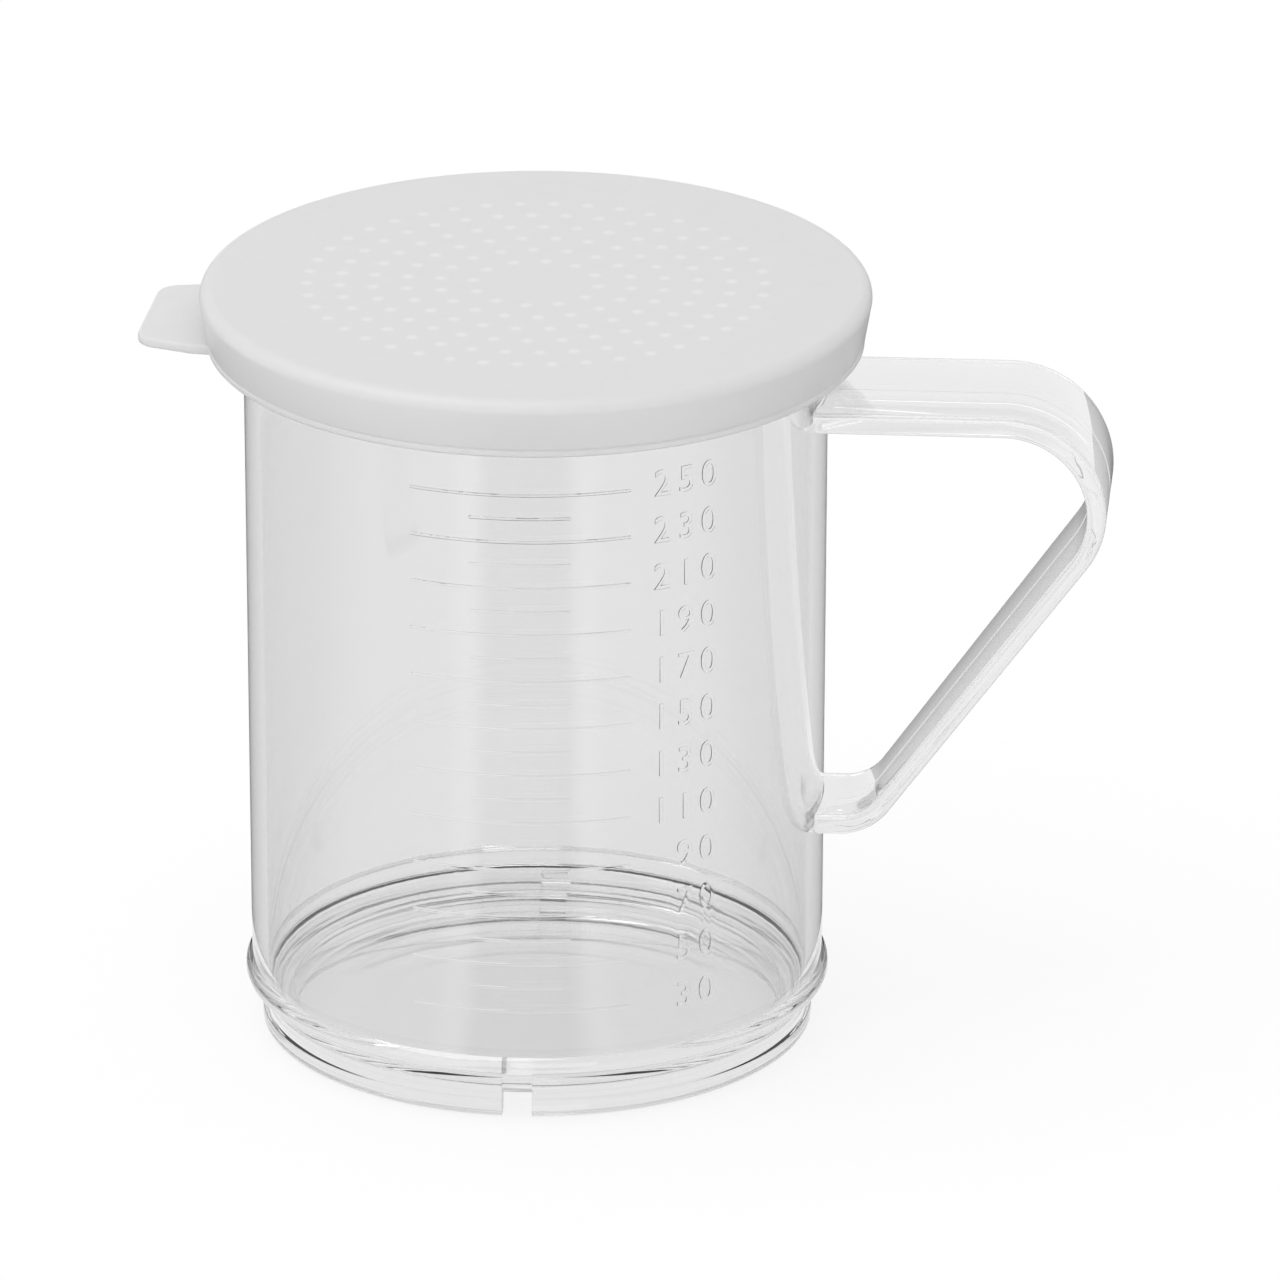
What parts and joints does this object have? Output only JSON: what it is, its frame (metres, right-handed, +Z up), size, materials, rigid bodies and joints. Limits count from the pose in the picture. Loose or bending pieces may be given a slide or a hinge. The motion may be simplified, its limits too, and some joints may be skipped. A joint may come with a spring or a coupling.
{
  "type": "shaker cup",
  "caption": "Clear cylindrical shaker cup with a strap handle and raised volume scale, closed by a perforated push-on top and a round snap lid with a pull tab.",
  "frame": {"origin": "on the cup's axis at the plane that the foot ring stands on, which is the open end of the recess under the cup", "axes": "+Z up along the cup's axis, +X towards the handle, -Y towards the volume scale"},
  "size_m": [0.1158, 0.08, 0.0937],
  "materials": {
    "clear_cup": "polished",
    "clear_handle": "polished",
    "clear_top": "polished",
    "white_lid": "satin"
  },
  "bodies": {
    "cup": {"cup": "clear_cup", "handle": "clear_handle"},
    "shaker_top": {"shaker_top": "clear_top"},
    "lid": {"lid": "white_lid"}
  },
  "joints": [
    {"name": "top_lift", "type": "slide", "parent": "cup", "child": "shaker_top", "axis": [0, 0, 1], "range_m": [0, 0.025]},
    {"name": "lid_lift", "type": "slide", "parent": "shaker_top", "child": "lid", "axis": [0, 0, 1], "range_m": [0, 0.03]}
  ]
}
